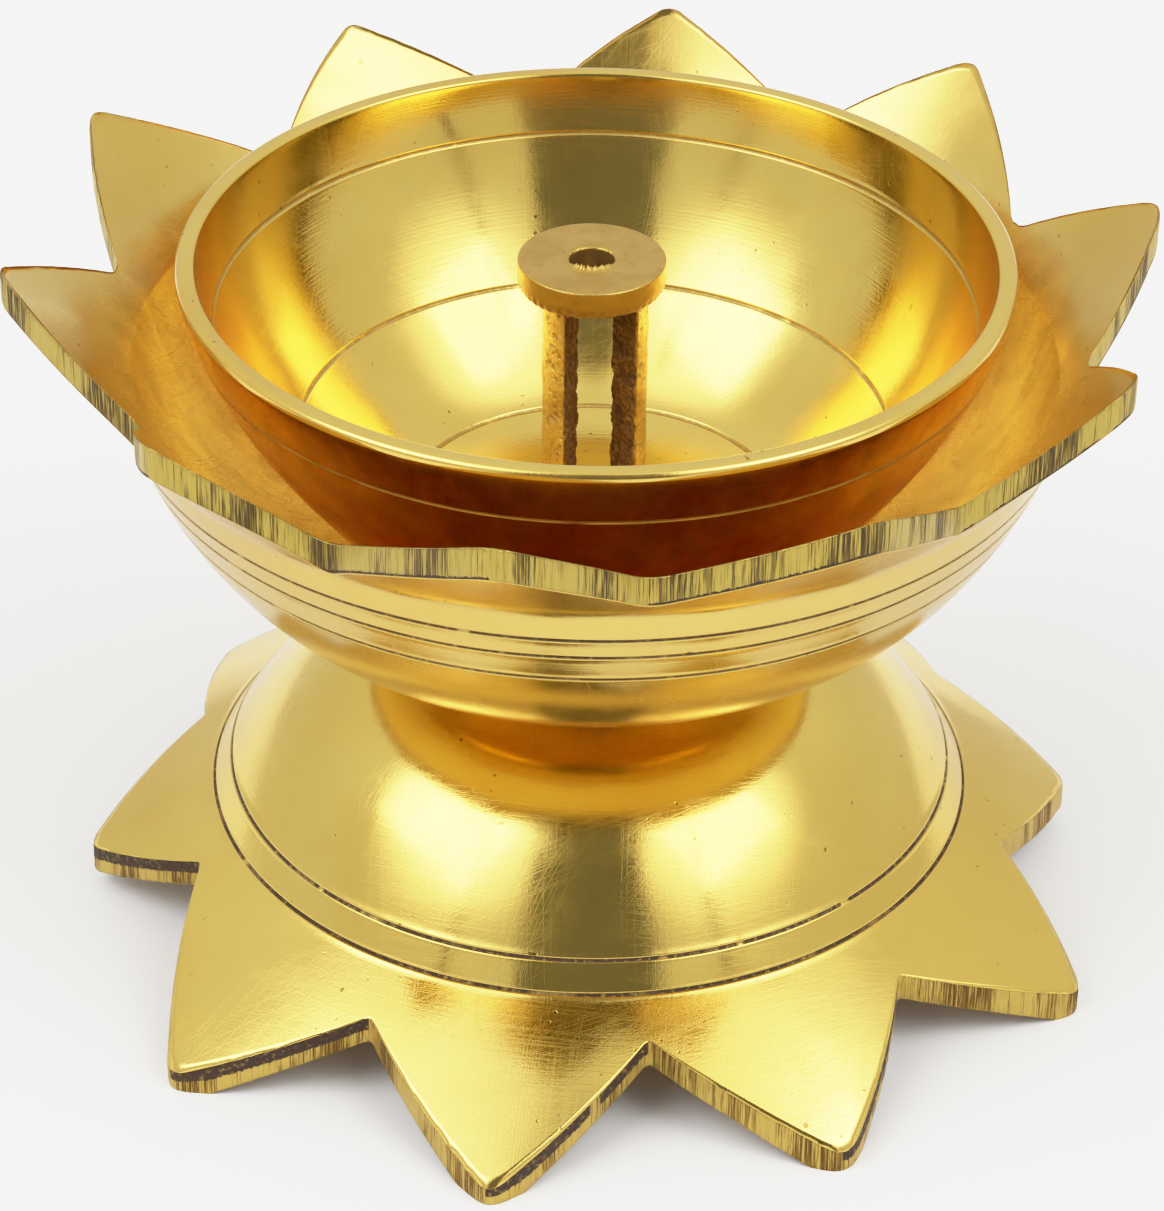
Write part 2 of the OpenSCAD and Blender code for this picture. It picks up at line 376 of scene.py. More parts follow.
def petal_outline(notch_r, tip_r, point_turn, point_out, notch_turn, notch_out, roundness,
                  notch_soft):
    """Points round the sawn edge, counter-clockwise from the notch before the petal on +X."""
    outline = []
    for k in range(PETALS):
        point_angle = 2 * HALF_PETAL * k + point_turn[k]
        tip = tip_r + point_out[k]
        notches = []
        for number in (k - 1, k):
            angle = 2 * HALF_PETAL * number + HALF_PETAL + notch_turn[number % PETALS]
            local = (angle - point_angle) * DEGREE
            radius = notch_r + notch_out[number % PETALS]
            notches.append(radius * np.array([math.cos(local), abs(math.sin(local))]))
        rising = petal_side(notches[0], tip, roundness[k]) * [1, -1]
        falling = petal_side(notches[1], tip, roundness[k])[::-1]
        petal = np.vstack([spread(rising, SIDE_COLUMNS), spread(falling, SIDE_COLUMNS)])
        turn = point_angle * DEGREE
        spin = np.array([[math.cos(turn), math.sin(turn)], [-math.sin(turn), math.cos(turn)]])
        outline.append(petal @ spin)
    outline = np.vstack(outline)
    return soften(outline, np.arange(PETALS) * 2 * SIDE_COLUMNS, notch_soft)


EDGE_ROUND = 0.14      # how far the two sides stop short of the sawn edge, to round it
WALL_ROWS = (0.0, 0.1, 0.3, 0.5, 0.7, 0.9, 1.0)     # rows up the sawn edge's height


def petalled_skin(rows, profile, lines, edge_r, along, seed, marks, upper):
    """One side of a petalled solid, from a profile that runs from the axis outwards.

    Rows stay round near the axis, and beyond the last engraved line they stretch out to the
    sawn edge. The underside's rows run outwards, and the upper side's run back in.
    """
    middle = profile.s_at_radius(edge_r.min() - 0.9)
    if lines:
        middle = np.clip(middle, max(lines) + 0.36, max(lines) + 4)
    turned = rows_with_lines(profile.stations(0, middle), lines)
    turned = [row for row in turned if row[0] <= middle]
    edge_s = profile.s_at_radius(edge_r) - EDGE_ROUND
    stretched = [middle + share * (edge_s - middle) for share in np.linspace(0, 1, 15)[1:]]

    def add_stretched(lengths):
        for s in lengths:
            radius, height = profile.at(s)
            rows.add(radius, height, along=along, up=float(upper), **marks_at(marks, s, height))

    if upper:
        add_stretched(reversed(stretched))
        rows.add_skin(profile, turned[::-1], -1, seed + 7, **marks)
    else:
        rows.add_skin(profile, turned, 1, seed, **marks)
        add_stretched(stretched)


def sawn_wall(rows, outline, low_z, high_z, along, seed, tar):
    """The sawn edge between the two sides, torn and waved a little by the saw."""
    run = np.roll(outline, -1, axis=0) - np.roll(outline, 1, axis=0)
    run /= np.linalg.norm(run, axis=1)[:, None]
    face = np.stack([run[:, 1], -run[:, 0]], axis=1)
    for share in WALL_ROWS:
        bevel = EDGE_ROUND * (0.5 if share in (0.0, 1.0) else 0.0)
        tear = 0.5 * run_noise(along, seed + 11, 0.42) + 0.5 * run_noise(along, seed + 12, 0.9)
        slope = 0.35 * run_noise(along, seed + 13 + int(share * 10), 1.3)
        inset = bevel + 0.055 * (1 + tear + slope)
        height = low_z + share * (high_z - low_z)
        points = np.column_stack([outline - face * inset[:, None], height])
        rows.add_points(points, cut=1.0, up=share, along=along, tar=tar)


def petalled_solid(name, under_skin, upper_skin, outline, under_lines, upper_lines, seed,
                   tar_sides, under_marks=None, upper_marks=None):
    """A turned shell whose edge is sawn into petals: underside, sawn wall, then upper side."""
    edge_r = np.hypot(outline[:, 0], outline[:, 1])
    steps = np.linalg.norm(np.roll(outline, -1, axis=0) - outline, axis=1)
    along = np.concatenate([[0], np.cumsum(steps)[:-1]])
    rows = Rows(np.unwrap(np.arctan2(outline[:, 1], outline[:, 0])))
    petalled_skin(rows, under_skin, under_lines, edge_r, along, seed, under_marks or {}, False)

    # brown residue clings mostly to one side of each petal
    place = np.arange(len(outline)) / (2 * SIDE_COLUMNS)
    tar = np.where(place % 1 < 0.5, tar_sides[0], tar_sides[1])
    low_z = under_skin.at(under_skin.s_at_radius(edge_r))[1]
    high_z = upper_skin.at(upper_skin.s_at_radius(edge_r))[1]
    sawn_wall(rows, outline, low_z, high_z, along, seed, tar)

    petalled_skin(rows, upper_skin, upper_lines, edge_r, along, seed, upper_marks or {}, True)
    return ring_solid(name, rows)


# ---- the foot ----

DOME_TOP = np.array([1.46 * NECK_R, NECK_Z - 5.3])
INNER_TOP = DOME_TOP - [1.5, 2.7]
INNER_EDGE = np.array(DOME) - [1.7, 2.3]


def foot_piece():
    upper = Profile(
        [STEM_HOLE_R, NECK_Z],
        corner([STEM_HOLE_R, NECK_Z], [NECK_R, NECK_Z], [NECK_R, NECK_Z - 0.8], 0.2),
        bend([NECK_R, NECK_Z - 0.8], [NECK_R + 0.5, NECK_Z - 3.5], DOME_TOP),
        bend(DOME_TOP, [DOME[0] - 8.9, DOME_TOP[1] - 1.9], DOME),
        bend(DOME, [SKIRT_MID_R, DOME[1] - 4.4], [FOOT_TIP_R + 1, 1.77]),
    )
    beneath = Profile(
        [STEM_HOLE_R, CEILING_Z],
        bend([10.5, CEILING_Z], [12, INNER_TOP[1] + 0.8], INNER_TOP),
        bend(INNER_TOP, [DOME[0] - 10.2, INNER_TOP[1] - 1.8], INNER_EDGE),
        bend(INNER_EDGE, [SKIRT_MID_R, DOME[1] - 6.75], [FOOT_TIP_R - 1.5, 0]),
        [FOOT_TIP_R + 1.6, 0],
    )
    outline = petal_outline(FOOT_NOTCH_R, FOOT_TIP_R, FOOT_POINT_TURN, FOOT_POINT_OUT,
                            FOOT_NOTCH_TURN, FOOT_NOTCH_OUT, FOOT_POINT_ROUND, 0.45)
    lines = [upper.s_where(1, DOME[1] + 2.6), upper.s_where(1, DOME[1])]
    return petalled_solid("foot", beneath, upper, outline, [], lines, seed=100,
                          tar_sides=(0.3, 1.0), under_marks={"cast": 1.0})


# ---- the lotus bowl ----

def lotus_piece():
    beneath = Profile(
        [STEM_HOLE_R, LOTUS_SEAT_Z],
        bend([NECK_R + 0.6, LOTUS_SEAT_Z], [38.35, LOTUS_SEAT_Z], WAIST, 120),
        bend(WAIST, [47.0, WAIST[1] + 2.4], [LOTUS_TIP_R + 1, 70.08]),
        [LOTUS_TIP_R + 1.8, 71.0],
    )
    inner_waist = (WAIST[0] - 1.7, WAIST[1] + 1)
    upper = Profile(
        [STEM_HOLE_R, LOTUS_FLOOR_Z],
        bend([NECK_R - 1.4, LOTUS_FLOOR_Z], [0.82 * inner_waist[0], LOTUS_FLOOR_Z],
             inner_waist, 120),
        bend(inner_waist, [46.8, WAIST[1] + 4.9], [LOTUS_TIP_R + 1, 73.38]),
        [LOTUS_TIP_R + 1.8, 74.1],
    )
    outline = petal_outline(LOTUS_NOTCH_R, LOTUS_TIP_R, LOTUS_POINT_TURN, LOTUS_POINT_OUT,
                            LOTUS_NOTCH_TURN, LOTUS_NOTCH_OUT, LOTUS_POINT_ROUND, 1.3)
    lines = [beneath.s_where(1, z) for z in reversed(LOTUS_LINES)]
    # the upper side carries where the painted reflected-light tone goes, below the petals
    return petalled_solid("lotus", beneath, upper, outline, lines, [], seed=200,
                          tar_sides=(1.0, 0.25), upper_marks={"deep": below_petals})


def below_petals(_, height):
    """How far a place is down inside the lotus bowl, from 0 at the petals to 1; there it gets a
    painted tone of reflected light.
    """
    return smooth_step(height, WAIST[1] + 7, WAIST[1])


# ---- the oil bowl ----

def oil_piece():
    rise = RIM_Z - OIL_SEAT_Z
    shoulder = (30.4, OIL_SEAT_Z + 0.366 * rise)
    inside_rise = RIM_Z - OIL_FLOOR_Z
    dish_edge = (OIL_DISH_R, OIL_FLOOR_Z + OIL_DISH_DEEP)
    wall = Profile(
        [STEM_HOLE_R, OIL_SEAT_Z],
        bend([14, OIL_SEAT_Z], [22, OIL_SEAT_Z], shoulder),
        bend(shoulder, [38.2, OIL_SEAT_Z + 0.69 * rise], [RIM_R, RIM_Z - 0.8]),
        bend([RIM_R, RIM_Z - 0.8], [RIM_R, RIM_Z], [RIM_R - 0.8, RIM_Z], 12),
        bend([RIM_IN_R + 0.5, RIM_Z], [RIM_IN_R, RIM_Z], [RIM_IN_R, RIM_Z - 0.5], 12),
        bend([RIM_IN_R, RIM_Z - 0.5], [36.27, OIL_FLOOR_Z + 0.676 * inside_rise], OIL_RING),
        bend(OIL_RING, [22.3, OIL_FLOOR_Z + 3.4], dish_edge),
        bend(dish_edge, [13.5, OIL_FLOOR_Z], [FLANGE_R + 0.6, OIL_FLOOR_Z]),
        [STEM_HOLE_R, OIL_FLOOR_Z],
    )
    lines = [wall.s_where(1, OIL_LINE_Z, (0, 0.5)), wall.s_where(1, OIL_LINE_Z, (0.5, 1)),
             wall.s_where(0, OIL_RING[0], (0.5, 1)), wall.s_where(0, OIL_DISH_R, (0.6, 1))]
    stations = wall.stations(0, wall.length[-1], step=0.9, turn=4)
    rows = Rows(even_angles(360))
    rim = wall.s_where(1, RIM_Z, (0.3, 0.7))

    def low_outside(s, height):
        """How far a place is down the outside, where light comes only off other brass; there it
        gets a painted tone of that reflected light.
        """
        return (0.45 + 0.55 * smooth_step(height, 66, 56)) * smooth_step(s, rim, rim - 1)

    rows.add_skin(wall, rows_with_lines(stations, lines), 1, 300, line_strength=0.55,
                  deep=low_outside)
    return ring_solid("oil_bowl_turned", rows)


# ---- the wick holder ----

def disc_piece():
    """The soldered disc: turned on top, with a cast line and pits low on its edge."""
    chamfer = 0.5
    corners = ([WICK_HOLE_R, DISC_UNDER_Z], [DISC_R - chamfer, DISC_UNDER_Z],
               [DISC_R, DISC_UNDER_Z + chamfer], [DISC_R, DISC_Z], [WICK_HOLE_R, DISC_Z],
               [WICK_HOLE_R, DISC_UNDER_Z + 0.01])
    rounds = [corner(*corners[i:i + 3], size) for i, size in enumerate((0.2, 0.2, 0.22, 0.3))]
    wall = Profile(corners[0], *rounds, corners[-1])
    angles = even_angles(200)
    rows = Rows(angles)
    for s in wall.stations(0, wall.length[-1], step=0.22, turn=8):
        radius, height = wall.at(s)
        normal_r, normal_z = wall.normal(s)
        low = smooth_step(height, DISC_UNDER_Z + 1.3, DISC_UNDER_Z + 0.5)
        edge = smooth_step(radius, DISC_R - 1.2, DISC_R - 0.2)
        pits = np.array([pit_depth(radius * math.cos(a), radius * math.sin(a), height, 0.9)
                         for a in angles])
        depth = edge * low * (0.10 * (1 + ring_noise(angles, 41, (9, 60))) + 0.38 * pits)
        lip = smooth_step(radius, WICK_HOLE_R + 0.75, WICK_HOLE_R + 0.1)
        upper = smooth_step(height, DISC_Z - 0.4, DISC_Z - 0.1)
        front = smooth_step(np.cos(angles + 98 * DEGREE), 0.35, 0.9)
        burr = lip * upper * (front * (0.34 + 0.16 * ring_noise(angles, 43, (20, 70)))
                              + 0.04 * ring_noise(angles, 44, (8, 30)))
        torn = lip * front * upper * (1 + ring_noise(angles, 45, (9, 40)))
        radius_now = radius - depth * normal_r - 0.10 * torn
        dirt = np.clip(edge * low * (0.2 + 1.1 * pits), 0, 1) + 0.8 * lip * (1 - upper)
        rows.add(radius_now, height - depth * normal_z + burr,
                 grime=np.clip(dirt, 0, 1), cast=edge * low)
    piece = ring_solid("wick_disc_turned", rows)
    piece.data.transform(Matrix.Translation((-DISC_OFF * MM, 0, 0)))
    return piece


def pit_depth(x, y, z, size, more=0.0):
    """How deep a casting pit is at a place, from 0 to 1, with more of them if asked."""
    near = noise.voronoi(Vector((x, y, z)) / size)[0][0]
    chosen = noise.noise(Vector((x, y, z)) / (2.2 * size) + Vector((7.1, 3.3, 1.9)))
    return max(0.0, 1 - near / 0.36) * max(0.0, min(1.0, (chosen - 0.02 + more) * 6))


def prism(section, low, high):
    """Points and faces of an upright prism over a counter-clockwise outline."""
    count = len(section)
    points = [(x, y, z) for z in (low, high) for x, y in section]
    faces = [list(range(count - 1, -1, -1)), list(range(count, 2 * count))]
    faces += [[i, (i + 1) % count, (i + 1) % count + count, i + count] for i in range(count)]
    return points, faces


def circle(radius, steps=64):
    turns = [2 * math.pi * i / steps for i in range(steps)]
    return [(radius * math.cos(a), radius * math.sin(a)) for a in turns]


def join_solids(name, solids):
    """One mesh from several overlapping closed solids, ready to be remeshed into one skin."""
    points, faces = [], []
    for solid_points, solid_faces in solids:
        faces += [[i + len(points) for i in face] for face in solid_faces]
        points += list(solid_points)
    return mesh_piece(name, np.array(points, float), faces)


def remesh(piece, voxel):
    """Turns overlapping solids into one closed skin with softened edges."""
    modifier = piece.modifiers.new("skin", "REMESH")
    modifier.mode = "VOXEL"
    modifier.voxel_size = voxel * MM
    relax = piece.modifiers.new("relax", "SMOOTH")
    relax.factor = 0.5
    relax.iterations = 3
    bpy.context.view_layer.update()
    evaluated = piece.evaluated_get(bpy.context.evaluated_depsgraph_get())
    mesh = bpy.data.meshes.new_from_object(evaluated)
    piece.modifiers.clear()
    old = piece.data
    piece.data = mesh
    bpy.data.meshes.remove(old)
    mesh.shade_smooth()


def leg_section(side):
    """Outline of one leg of the column, on +X or -X. The slot widens from its middle."""
    spread_out = 1 + SLOT_FLARE ** 2
    inside = math.sqrt(COLUMN_R ** 2 * spread_out - SLOT_HALF ** 2)
    meet_y = round((inside - SLOT_HALF * SLOT_FLARE) / spread_out, 3)
    meet_x = SLOT_HALF + SLOT_FLARE * meet_y
    reach = math.atan2(meet_y, meet_x)
    leg = [(COLUMN_R * math.cos(a), COLUMN_R * math.sin(a))
           for a in np.linspace(-reach, reach, 24)]
    leg.append((SLOT_HALF, 0.0))
    return leg if side > 0 else [(-x, -y) for x, y in leg]


def fillet_block(side, low, high, width):
    """A sloped block that rounds a slot's upper corner under the disc."""
    x0, x1 = SLOT_HALF - width, SLOT_HALF + 1.2
    half = 3.2
    points = [(x, y, z) for x, z in ((x1, low), (x0 + width, low), (x0, high), (x1, high))
              for y in (-half, half)]
    faces = [[0, 2, 3, 1], [2, 4, 5, 3], [4, 6, 7, 5], [0, 1, 7, 6], [0, 6, 4, 2], [1, 3, 5, 7]]
    if side < 0:
        points = [(-x, -y, z) for x, y, z in points]
    return points, faces


def column_piece():
    """The cast, slotted column: two pitted legs on a round base with a flange."""
    solids = [prism(circle(COLUMN_R), FLANGE_Z, SLOT_FLOOR_Z),
              prism(circle(FLANGE_R), FLANGE_Z, FLANGE_Z + 0.9)]
    for side in (1, -1):
        solids.append(prism(leg_section(side), FLANGE_Z + 0.3, DISC_UNDER_Z + 0.25))
        solids.append(fillet_block(side, DISC_UNDER_Z - 1.5, DISC_UNDER_Z + 0.25, 1.2))
    piece = join_solids("wick_column_cast", solids)
    remesh(piece, 0.17)
    roughen_column(piece.data)
    return piece


def roughen_column(mesh):
    """Lumps, grain and pits from the sand mould, mostly by the slot, and dirt in the pits."""
    count = len(mesh.vertices)
    points = np.zeros(count * 3)
    normals = np.zeros(count * 3)
    mesh.vertices.foreach_get("co", points)
    mesh.vertices.foreach_get("normal", normals)
    points = points.reshape(-1, 3) / MM
    normals = normals.reshape(-1, 3)
    grime = np.zeros(count)
    wall = np.zeros(count)
    for i, ((x, y, z), normal) in enumerate(zip(points, normals)):
        place = Vector((x, y, z))
        outer = smooth_step(math.hypot(x, y), COLUMN_R - 0.55, COLUMN_R - 0.1)
        high = smooth_step(z, SLOT_FLOOR_Z, SLOT_FLOOR_Z + 1)
        rough = 1 - 0.6 * outer
        lumps = noise.noise(place / 1.5) + 0.7 * noise.noise(place / 0.65)
        grain = noise.noise(place / 0.28)
        by_slot = smooth_step(abs(x), SLOT_HALF + 2.4, SLOT_HALF + 0.8)
        pit = max(pit_depth(x, y, z, 0.95), 0.85 * pit_depth(y, z, x, 0.7, 0.3 * by_slot))
        moved = rough * (0.19 * lumps + 0.10 * grain) - 0.42 * pit * high
        points[i] += normal * moved
        wall[i] = (1 - outer) * high
        grime[i] = min(1.0, 1.1 * pit + 0.45 * wall[i] * max(0.0, 0.6 - lumps))
    from_axis = np.maximum(np.hypot(points[:, 0], points[:, 1]), 1e-6)
    points[:, :2] *= np.minimum(1, (FLANGE_R + 0.02) / from_axis)[:, None]
    points[:, 2] = np.clip(points[:, 2], FLANGE_Z, DISC_UNDER_Z + 0.3)
    mesh.vertices.foreach_set("co", (points * MM).ravel())
    add_marks(mesh, {"grime": grime, "cast": wall})
    mesh.update()


def stem_piece():
    """The stem under the flange, with a cut thread where the nut runs."""
    columns = 72
    angles = even_angles(columns)
    thread_top = CEILING_Z + 1
    per_turn = 10
    centre = 0.02
    points = [ring(angles, centre, STEM_Z + 0.02), ring(angles, STEM_R - 0.75, STEM_Z)]
    heights = np.arange(STEM_Z + 0.3, thread_top, THREAD_PITCH / per_turn)
    for z in list(heights) + [thread_top + 0.6, FLANGE_Z + 0.2]:
        wave = 0.5 + 0.5 * np.cos(2 * np.pi * z / THREAD_PITCH - angles)
        depth = 0.42 * (1 - smooth_step(z, thread_top - 0.3, thread_top + 0.3))
        taper = 0.35 * (1 - smooth_step(z, STEM_Z + 0.2, STEM_Z + 1.0))
        radius = STEM_R - 0.02 - np.maximum(depth * (1 - wave), taper)
        points.append(ring(angles, radius, z))
    points.append(ring(angles, centre, FLANGE_Z + 0.2))
    grid = np.stack(points)
    faces = grid_faces(*grid.shape[:2], close_rows=False)
    faces.append(list(range(columns))[::-1])
    faces.append([(len(points) - 1) * columns + j for j in range(columns)])
    return mesh_piece("wick_stem_threaded", grid.reshape(-1, 3), faces)


# ---- materials ----

class Look:
    """The nodes of a material or of the world, built with short calls, in millimetres."""

    def __init__(self, owner):
        owner.use_nodes = True
        self.owner = owner
        self.tree = owner.node_tree
        coordinates = self.node("TexCoord")
        self.place = coordinates.outputs["Object"]
        self.direction = coordinates.outputs["Generated"]

    def node(self, kind, **settings):
        new_node = self.tree.nodes.new("ShaderNode" + kind)
        for key, value in settings.items():
            setattr(new_node, key, value)
        return new_node

    def feed(self, socket, value):
        if isinstance(value, bpy.types.NodeSocket):
            self.tree.links.new(value, socket)
        else:
            socket.default_value = value

    def maths(self, operation, a, b=0.0):
        maths_node = self.node("Math", operation=operation)
        self.feed(maths_node.inputs[0], a)
        self.feed(maths_node.inputs[1], b)
        return maths_node.outputs[0]

    def times(self, a, b):
        return self.maths("MULTIPLY", a, b)

    def plus(self, a, b):
        return self.maths("ADD", a, b)

    def mark(self, name):
        return self.node("Attribute", attribute_name=name).outputs["Fac"]

    def noise(self, size, detail=2.0, roughness=0.5, place=None, distortion=0.0):
        """Noise whose features are about size millimetres, or (x, y, z) millimetres."""
        size = size if isinstance(size, tuple) else (size, size, size)
        scaled = self.node("Mapping")
        self.feed(scaled.inputs["Vector"], place or self.place)
        scaled.inputs["Scale"].default_value = [1 / (s * MM) for s in size]
        noise_node = self.node("TexNoise")
        self.feed(noise_node.inputs["Vector"], scaled.outputs[0])
        for name, value in (("Scale", 1.0), ("Detail", detail), ("Roughness", roughness),
                            ("Distortion", distortion)):
            noise_node.inputs[name].default_value = value
        return noise_node.outputs["Fac"]

    def turned(self, angles):
        """The place turned by three angles in degrees, to run a grain in another direction."""
        turn = self.node("Mapping")
        self.feed(turn.inputs["Vector"], self.place)
        turn.inputs["Rotation"].default_value = [a * DEGREE for a in angles]
        return turn.outputs[0]

    def round_the_axis(self):
        """(distance from the axis, height, 0), so that a pattern runs in rings."""
        parts = self.node("SeparateXYZ")
        self.feed(parts.inputs[0], self.place)
        square = self.plus(self.times(parts.outputs[0], parts.outputs[0]),
                           self.times(parts.outputs[1], parts.outputs[1]))
        joined = self.node("CombineXYZ")
        self.feed(joined.inputs[0], self.maths("SQRT", square))
        self.feed(joined.inputs[1], parts.outputs[2])
        return joined.outputs[0]

    def on_the_edge(self):
        """(millimetres along the sawn edge, share of its height, 0), in metres."""
        joined = self.node("CombineXYZ")
        self.feed(joined.inputs[0], self.times(self.mark("along"), MM))
        self.feed(joined.inputs[1], self.times(self.mark("up"), MM))
        return joined.outputs[0]

    def step(self, value, low, high, out_low=0.0, out_high=1.0):
        ramp = self.node("MapRange", interpolation_type="SMOOTHSTEP", clamp=True)
        self.feed(ramp.inputs["Value"], value)
        for name, number in (("From Min", low), ("From Max", high),
                             ("To Min", out_low), ("To Max", out_high)):
            ramp.inputs[name].default_value = number
        return ramp.outputs["Result"]

    def blend(self, share, a, b):
        """A colour or a number mixed from a to b."""
        colour = isinstance(a, tuple) or getattr(a, "type", "") == "RGBA"
        mix = self.node("Mix", data_type="RGBA" if colour else "FLOAT")
        kind = "RGBA" if colour else "VALUE"
        inputs = [s for s in mix.inputs if s.type == kind and s.name in ("A", "B")]
        self.feed(mix.inputs[0], share)
        self.feed(inputs[0], self.rgba(a))
        self.feed(inputs[1], self.rgba(b))
        return [s for s in mix.outputs if s.type == kind][0]

    @staticmethod
    def rgba(value):
        return (*value, 1.0) if isinstance(value, tuple) and len(value) == 3 else value

    def bump(self, height, rise, under=None):
        """Raises the surface by height times rise millimetres, on top of another bump."""
        bump_node = self.node("Bump")
        bump_node.inputs["Strength"].default_value = 1.0
        bump_node.inputs["Distance"].default_value = rise * MM
        self.feed(bump_node.inputs["Height"], height)
        if under is not None:
            self.feed(bump_node.inputs["Normal"], under)
        return bump_node.outputs[0]

    def finish(self, colour, roughness, metallic, normal):
        shader = self.tree.nodes["Principled BSDF"]
        for name, value in (("Base Color", self.rgba(colour)), ("Roughness", roughness),
                            ("Metallic", metallic), ("Normal", normal)):
            self.feed(shader.inputs[name], value)
        return self.owner


def material_look(name):
    return Look(bpy.data.materials.new(name))


BRASS = (0.745, 0.52, 0.128)
BRASS_DEEP = (0.69, 0.455, 0.098)
RESIDUE = (0.045, 0.020, 0.008)
# How each set of fine scratches is turned, in degrees, and its width
HAIRLINES = (((12, 35, 70), 0.07), ((80, -20, 15), 0.09), ((-40, 60, 110), 0.06),
             ((25, -75, 40), 0.08))


def hairlines(look, amount):
    """Fine scratches in several directions, as a share from 0 to 1."""
    total = 0.0
    for angles, width in HAIRLINES:
        sheet = look.noise((width, 22.0, 22.0), detail=0.0, place=look.turned(angles))
        line = look.step(sheet, 0.66 - 0.05 * amount, 0.76)
        total = look.plus(total, line)
    return look.maths("MINIMUM", total, 1.0)


# The look of a sawn edge, and how far up its height the brown residue starts and is full
FOOT_SAWN = {"bright": (0.60, 0.42, 0.10), "dark": (0.17, 0.09, 0.025),
             "residue": (0.64, 0.74)}
LOTUS_SAWN = {"bright": (0.46, 0.335, 0.074), "dark": (0.10, 0.066, 0.032),
              "residue": (0.26, 0.18)}


def sawn_edge(look, sawn, colour, roughness, normal):
    """Saw marks on the petals' edges. Also gives where brown residue clings to them."""
    cut = look.mark("cut")
    edge = look.on_the_edge()
    fine = look.noise((0.16, 2.2, 1.0), detail=3.0, roughness=0.7, place=edge)
    broad = look.noise((0.7, 4.0, 1.0), detail=2.0, place=edge)
    streak = look.plus(look.times(fine, 0.6), look.times(broad, 0.4))
    worn = look.step(look.noise((7.0, 30.0, 1.0), detail=2.0, place=edge), 0.40, 0.60)
    dark = look.step(look.plus(streak, look.times(worn, 0.13)), 0.53, 0.66)
    filed = look.blend(dark, sawn["bright"], sawn["dark"])
    filed = look.blend(look.step(broad, 0.55, 0.70, 0.0, 0.35), filed, sawn["bright"])
    colour = look.blend(cut, colour, filed)
    roughness = look.blend(cut, roughness, look.blend(dark, 0.36, 0.62))
    normal = look.bump(look.times(streak, cut), 0.34, normal)

    ragged = look.noise((0.45, 0.5, 1.0), detail=4.0, roughness=0.65, place=edge)
    reach = look.plus(look.mark("up"), look.times(ragged, 0.30))
    seam = look.step(reach, *sawn["residue"])
    patch = look.step(look.noise((6.0, 30.0, 1.0), detail=1.0, place=edge), 0.30, 0.42)
    seam = look.times(look.times(seam, patch), cut)
    seam = look.times(seam, look.mark("tar"))
    return colour, roughness, normal, look.step(seam, 0.25, 0.6)


def polished_brass(name, scratches=0.5, ring_marks=0.3, wave=0.05, smooth=0.13, sawn=None,
                   tone=BRASS, deep_tone=BRASS_DEEP, painted_bounce_tone=(0.96, 0.55, 0.12)):
    """Turned and hand-polished brass, with sawn edges, engraved lines, cast undersides and
    painted reflected light deep between the bowls.
    """
    look = material_look(name)
    cast = look.mark("cast")
    grime = look.mark("grime")

    patches = look.noise(24.0, detail=3.0)
    clouds = look.noise(7.0, detail=4.0, roughness=0.6)
    grain = look.noise(0.35, detail=2.0)
    scratch = hairlines(look, scratches)
    rings = look.noise((0.22, 0.22, 1.0), detail=2.0, place=look.round_the_axis())

    colour = look.blend(look.step(patches, 0.35, 0.7), tone, deep_tone)
    colour = look.blend(look.step(clouds, 0.62, 0.8, 0.0, 0.25), colour, (0.62, 0.45, 0.14))
    roughness = look.step(clouds, 0.3, 0.75, smooth - 0.03, smooth + 0.08)
    roughness = look.plus(roughness, look.times(scratch, 0.05))

    spots = look.step(look.noise(0.7, detail=0.0), 0.80, 0.85)
    spots = look.times(spots, look.step(look.noise(9.0), 0.5, 0.62))
    colour = look.blend(look.times(spots, 0.75), colour, (0.16, 0.08, 0.02))

    normal = look.bump(look.noise(11.0, detail=1.0), 2.2 * wave)
    normal = look.bump(rings, 0.012 * ring_marks, normal)
    normal = look.bump(scratch, -0.0014 * scratches, normal)
    normal = look.bump(grain, 0.004, normal)
    normal = look.bump(spots, -0.012, normal)

    # where the painted reflected-light tone goes, unevenly
    deep = look.times(look.mark("deep"), look.step(clouds, 0.3, 0.6, 0.75, 1.0))
    roughness = look.plus(roughness, look.times(deep, 0.05))

    # sand-cast skin where the casting was never turned
    sand = look.noise(0.8, detail=5.0, roughness=0.7)
    colour = look.blend(cast, colour, look.blend(sand, (0.30, 0.17, 0.05), (0.66, 0.45, 0.16)))
    roughness = look.blend(cast, roughness, look.step(sand, 0.3, 0.7, 0.38, 0.62))
    normal = look.bump(look.times(sand, cast), 0.35, normal)

    if sawn:
        colour, roughness, normal, seam = sawn_edge(look, sawn, colour, roughness, normal)
        grime = look.maths("MAXIMUM", grime, seam)

    residue = look.times(grime, look.step(look.noise(0.5), 0.25, 0.5, 0.6, 1.0))
    colour = look.blend(residue, colour, RESIDUE)
    roughness = look.blend(residue, roughness, 0.7)
    metallic = look.maths("SUBTRACT", 1.0, look.times(residue, 0.85))

    # deep between the bowls: painted reflected light, a brighter tone for light lost over many
    # reflections, laid on in streaks
    bounce_streaks = look.step(look.noise((4.0, 4.0, 20.0), detail=2.0, distortion=0.8), 0.38, 0.66)
    # a darker copy of the painted reflected-light tone, for its streaks
    darker_bounce_tone = tuple(0.80 * part for part in painted_bounce_tone)
    streaked_bounce_tone = look.blend(bounce_streaks, painted_bounce_tone, darker_bounce_tone)
    colour = look.blend(deep, colour, streaked_bounce_tone)
    return look.finish(colour, roughness, metallic, normal)


